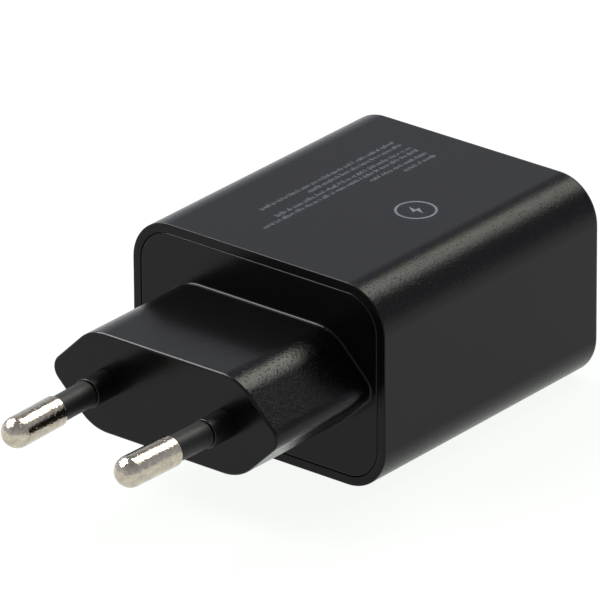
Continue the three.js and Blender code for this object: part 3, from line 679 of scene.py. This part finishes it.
def charging_mark():
    """Plain ring with a bolt inside it."""
    surface = Surface()
    low, high = TOP_Z - PRINT_THICKNESS / 2, TOP_Z + PRINT_THICKNESS / 2
    x, y = MARK_CENTRE
    steps = 64

    def circle(radius, z):
        angles = [2 * math.pi * k / steps for k in range(steps)]
        return surface.ring([(x + radius * math.cos(a), y + radius * math.sin(a), z) for a in angles])

    inner = MARK_RADIUS - MARK_LINE
    rings = [circle(MARK_RADIUS, low), circle(MARK_RADIUS, high), circle(inner, high), circle(inner, low)]
    surface.skin(rings + rings[:1])
    bolt = [(-1.35, 0.25), (-0.15, 0.05), (-0.1, 0.75), (1.35, -0.25), (0.15, -0.05), (0.1, -0.75)]
    surface.prism([(x + right, y + up) for right, up in bolt], low, high)
    surface.piece("charging_mark", "charger_body", [PRINT_INK])


# ---------- Sockets ----------

def socket_shell(socket, low, high, radius):
    """Formed steel shell with a rounded mouth."""
    width, height = high.x - low.x, high.z - low.z
    middle_x, middle_z = (low.x + high.x) / 2, (low.z + high.z) / 2
    outer_radius = radius + SOCKET_WALL

    def outline(inset):
        return rounded_rectangle(
            width - 2 * inset, height - 2 * inset, max(outer_radius - inset, 0.05), middle_x, middle_z)

    lip = SOCKET_WALL / 2
    mouth = arc((lip, low.y + lip), lip, 180, 360, steps=8)
    surface = Surface()
    rings = surface.along_y(outline, [(0, high.y)] + mouth + [(SOCKET_WALL, high.y)])
    surface.skin([rings[-1], rings[0]])
    replaced = [f"{socket}_shell"]
    surface.piece(f"{socket}_shell_formed", "charger_body", [SOCKET_STEEL], "socket_steel", replaced)


def insulator(socket, tongue, block_radius, tip_edge, contacts=()):
    """Block across the back of a socket with its tongue, and a slot for the root of each contact."""
    low, high = box_mm(f"{socket}_tongue")
    width, height = high.x - low.x, high.z - low.z
    middle_x = (low.x + high.x) / 2
    block_y = low.y + tongue["length"]
    block_edge, tongue_corner, slot_depth = 0.1, 0.12, 0.9

    def block_outline(inset):
        radius = max(block_radius - inset, 0.05)
        return rounded_rectangle(width - 2 * inset, height - 2 * inset, radius, middle_x, MID_Z)

    def tongue_outline(inset):
        size = (tongue["width"] - 2 * inset, tongue["thickness"] - 2 * inset)
        return rounded_rectangle(*size, tongue_corner, middle_x, tongue["middle_z"], steps=3)

    def slot(contact):
        contact_low, contact_high = box_mm(contact)
        size = (contact_high.x - contact_low.x + 0.3, CONTACT_THICKNESS + 0.35)
        middle = ((contact_low.x + contact_high.x) / 2, contact_high.z - CONTACT_THICKNESS / 2)
        rings = surface.along_y(
            lambda inset: rounded_rectangle(*size, 0.05, *middle, steps=1),
            [(0, block_y), (0, block_y + slot_depth)])
        surface.fill(rings[-1])
        return rings[0]

    surface = Surface()
    front = [(0, block_y + block_edge), (block_edge, block_y)]
    block = surface.along_y(block_outline, [(0, high.y)] + front)
    tip = arc((tip_edge, low.y + tip_edge), tip_edge, 180, 270, steps=4)
    tongue_skin = surface.along_y(tongue_outline, [(0, block_y)] + tip)
    surface.fill(block[-1], tongue_skin[0], *[slot(contact) for contact in contacts])
    surface.fill(block[0])
    surface.fill(tongue_skin[-1])
    replaced = [f"{socket}_tongue"]
    surface.piece(f"{socket}_insulator", "charger_body", [INSULATOR], "insulator_black", replaced)


def leaf_contact(contact, body):
    """Sprung leaf, bowed towards the plug and turned up at its tip."""
    low, high = box_mm(contact)
    root_z = high.z - CONTACT_THICKNESS / 2
    bow = high.z - low.z - CONTACT_THICKNESS
    line = smooth_line([
        (high.y, root_z),
        (high.y - 1.6, root_z),
        (low.y + 3.8, root_z - 0.45 * bow),
        (low.y + 1.7, root_z - 0.97 * bow),
        (low.y + 1.0, root_z - 0.97 * bow),
        (low.y + 0.05, root_z - 0.3 * bow),
    ])
    surface = Surface()
    place = Matrix.Translation(((low.x + high.x) / 2, 0, 0))
    surface.ribbon(line, high.x - low.x, 0.8 * CONTACT_THICKNESS, place)
    surface.piece(f"{contact}_leaf", body, [GOLD_PLATE], "gold_plate", [contact])


def shell_springs():
    """Grip springs inside the USB-A shell: two on its floor and one on each side wall."""
    thickness, bow = 0.2, 0.45
    mouth_y = USB_A_LOW.y
    line = smooth_line([
        (mouth_y + 1.4, thickness / 2),
        (mouth_y + 2.0, thickness),
        (mouth_y + 3.3, bow + thickness / 2),
        (mouth_y + 4.4, 0.8 * bow),
        (mouth_y + 6.4, thickness / 2),
    ])
    middle_x = (USB_A_LOW.x + USB_A_HIGH.x) / 2
    floor_z = USB_A_LOW.z + SOCKET_WALL
    half_width = (USB_A_HIGH.x - USB_A_LOW.x) / 2 - SOCKET_WALL
    surface = Surface()
    for side in (-1, 1):
        surface.ribbon(line, 2.0, thickness, Matrix.Translation((middle_x + 3 * side, 0, floor_z)))
        wall = Matrix.Translation((middle_x + side * half_width, 0, MID_Z - 0.9))
        surface.ribbon(line, 1.6, thickness, wall @ Matrix.Rotation(math.radians(-90 * side), 4, "Y"))
    surface.piece("usb_a_grip_springs", "charger_body", [SOCKET_STEEL], "socket_steel")


def usb_c_pads():
    """Row of gold contact pads on each face of the thin tongue; power pads reach nearer to the tip."""
    low, high = box_mm("usb_c_tongue")
    middle_x = (low.x + high.x) / 2
    half_width, proud = 0.13, 0.02
    surface = Surface()
    for face in (-1, 1):
        level = MID_Z + face * USB_C_TONGUE["thickness"] / 2
        for number in range(USB_C_PADS_PER_FACE):
            x = middle_x + (number - (USB_C_PADS_PER_FACE - 1) / 2) * USB_C_PAD_PITCH
            is_power = number in (0, 3, 8, 11)
            start_y = low.y + (0.45 if is_power else 0.75)
            surface.block(
                (x - half_width, start_y, level - proud),
                (x + half_width, low.y + 3.9, level + proud), 0.01)
    surface.piece("usb_c_contact_pads", "charger_body", [GOLD_PLATE], "gold_plate")


for build in (housing, rear_cover, label_print, charging_mark, shell_springs, usb_c_pads):
    build()
for side, side_name in ((-1, "left"), (1, "right")):
    pin_metal(side, side_name)
    pin_sleeve(side, side_name)
socket_shell("usb_a", USB_A_LOW, USB_A_HIGH, USB_A_RADIUS)
socket_shell("usb_c", USB_C_LOW, USB_C_HIGH, USB_C_RADIUS)
insulator("usb_a", USB_A_TONGUE, block_radius=0.3, tip_edge=0.3, contacts=CONTACTS)
insulator("usb_c", USB_C_TONGUE, block_radius=1.18, tip_edge=0.2)
for number, contact in enumerate(CONTACTS, start=1):
    leaf_contact(contact, f"contact_leaf_{number}")


# ---------- Circuit parts kept as they are in the frame, with finished materials ----------

METAL_SLOTS = {
    "strip_brass": ["contact_strip_left", "contact_strip_right"],
    "copper": ["filter_inductor_winding"],
    "can_silver": ["output_capacitor_1", "output_capacitor_2"],
}
PLASTIC_SLOTS = {
    "board_green": ["port_board", "main_board"],
    "insulator_black": ["board_header"],
    "chip_black": [
        "port_controller", "bridge_rectifier", "primary_controller", "optocoupler", "sync_rectifier"],
    "sheet_clear": ["insulation_sheet"],
    "ferrite": ["transformer_core_lower", "transformer_core_upper", "filter_inductor_core"],
    "bobbin_black": ["transformer_bobbin"],
    "tape_yellow": ["transformer_winding"],
    "can_black": ["input_capacitor_1", "input_capacitor_2"],
    "fuse_brown": ["fuse"],
    "disc_blue": ["safety_capacitor"],
}
DULL_SLOTS = ("ferrite", "bobbin_black", "chip_black")


def finish_kept_parts():
    """Materials in the record's colours for the circuit parts."""
    colours = {row["slot"]: row["base_color"] for row in frame["record"]["materials"]}
    looks = {}
    for slot in METAL_SLOTS:
        looks[slot] = plated_metal(f"{slot}_look", colours[slot], roughness=0.3, along="Z")
    for slot in PLASTIC_SLOTS:
        roughness = 0.6 if slot in DULL_SLOTS else 0.4
        looks[slot] = moulded_plastic(
            f"{slot}_look", colours[slot], roughness, specular=0.4, grain=5000, depth=0.000012)
    for slot, nodes in {**METAL_SLOTS, **PLASTIC_SLOTS}.items():
        for node in nodes:
            for material_slot in frame["nodes"][node].material_slots:
                material_slot.material = looks[slot]


finish_kept_parts()


# ---------- Floor, light and camera ----------

def floor():
    """Pale light table."""
    mesh = bpy.data.meshes.new("floor")
    reach = 15.0
    corners = [(-reach, -reach, 0), (reach, -reach, 0), (reach, reach, 0), (-reach, reach, 0)]
    mesh.from_pydata(corners, [], [(0, 1, 2, 3)])
    look, principled, _ = shader("light_table", specular=0.1)
    principled.inputs["Base Color"].default_value = (0.05, 0.05, 0.05, 1)
    principled.inputs["Roughness"].default_value = 0.9
    principled.inputs["Emission Color"].default_value = (0.97, 1.0, 0.965, 1)
    principled.inputs["Emission Strength"].default_value = 0.93
    mesh.materials.append(look)
    plane = bpy.data.objects.new("floor", mesh)
    bpy.context.scene.collection.objects.link(plane)


def direction(azimuth, elevation):
    """Unit vector from the object: azimuth 0 is -Y and 90 is +X, in degrees."""
    a, e = math.radians(azimuth), math.radians(elevation)
    return Vector((math.sin(a) * math.cos(e), -math.cos(a) * math.cos(e), math.sin(e)))


def softbox(name, azimuth, elevation, distance, size, radiance, colour=(1, 1, 1)):
    """Area light facing the object."""
    light = bpy.data.lights.new(name, "AREA")
    light.shape = "RECTANGLE"
    light.size, light.size_y = size
    light.energy = radiance * math.pi * size[0] * size[1]
    light.color = colour
    lamp = bpy.data.objects.new(name, light)
    middle = Vector((0, 0, MID_Z * MM))
    lamp.location = middle + direction(azimuth, elevation) * distance
    lamp.rotation_euler = (middle - lamp.location).to_track_quat("-Z", "Y").to_euler()
    bpy.context.scene.collection.objects.link(lamp)


def height_ramp(tree, height, stops):
    """Grey level over the height above the horizon, with a cool tint; stops are (height, level)."""
    ramp = tree.nodes.new("ShaderNodeValToRGB")
    elements = ramp.color_ramp.elements
    while len(elements) < len(stops):
        elements.new(0.5)
    for element, (position, level) in zip(elements, stops):
        element.position = position
        element.color = (0.955 * level, 0.98 * level, 1.075 * level, 1)
    tree.links.new(height, ramp.inputs["Fac"])
    return ramp.outputs["Color"]


def sky():
    """World light: pale at the horizon and dim higher up, more abruptly on the +X side."""
    world = bpy.data.worlds.new("studio")
    world.use_nodes = True
    bpy.context.scene.world = world
    tree = world.node_tree
    coordinates = tree.nodes.new("ShaderNodeTexCoord")
    split = tree.nodes.new("ShaderNodeSeparateXYZ")
    side = tree.nodes.new("ShaderNodeMapRange")
    mix = tree.nodes.new("ShaderNodeMixRGB")
    tree.links.new(coordinates.outputs["Generated"], split.inputs["Vector"])
    side.inputs["From Min"].default_value = -0.4
    side.inputs["From Max"].default_value = 0.4
    tree.links.new(split.outputs["X"], side.inputs["Value"])
    tree.links.new(side.outputs["Result"], mix.inputs["Fac"])
    minus_x = height_ramp(tree, split.outputs["Z"], [(0, 0.62), (0.25, 0.57), (0.6, 0.48), (1, 0.36)])
    plus_x = height_ramp(tree, split.outputs["Z"], [(0, 0.78), (0.44, 0.72), (0.54, 0.31), (1, 0.38)])
    tree.links.new(minus_x, mix.inputs["Color1"])
    tree.links.new(plus_x, mix.inputs["Color2"])
    tree.links.new(mix.outputs["Color"], tree.nodes["Background"].inputs["Color"])


def camera():
    """Long lens, looking down on the plug end and one side; distance in metres, lens in millimetres."""
    azimuth, elevation, roll = 219.045, 24.651, math.radians(-0.388)
    target = Vector((0.907, -6.443, 17.237)) * MM
    distance, lens = 1.22704, 599.05
    away = direction(azimuth, elevation)
    right = (-away).cross(Vector((0, 0, 1))).normalized()
    up = right.cross(-away)
    x_axis = right * math.cos(roll) + up * math.sin(roll)
    y_axis = up * math.cos(roll) - right * math.sin(roll)
    data = bpy.data.cameras.new("camera")
    data.lens = lens
    data.sensor_width = 36
    viewer = bpy.data.objects.new("camera", data)
    turn = Matrix((x_axis, y_axis, away)).transposed().to_4x4()
    viewer.matrix_world = Matrix.Translation(target + away * distance) @ turn
    bpy.context.scene.collection.objects.link(viewer)
    bpy.context.scene.camera = viewer


floor()
sky()
softbox(
    "overhead_softbox", azimuth=352, elevation=53, distance=1.6, size=(0.8, 0.72), radiance=8.6,
    colour=(1.0, 0.99, 0.88))
softbox("left_softbox", azimuth=104, elevation=48, distance=1.6, size=(1.5, 0.9), radiance=16.0)
camera()
bpy.context.scene.view_settings.view_transform = "Standard"
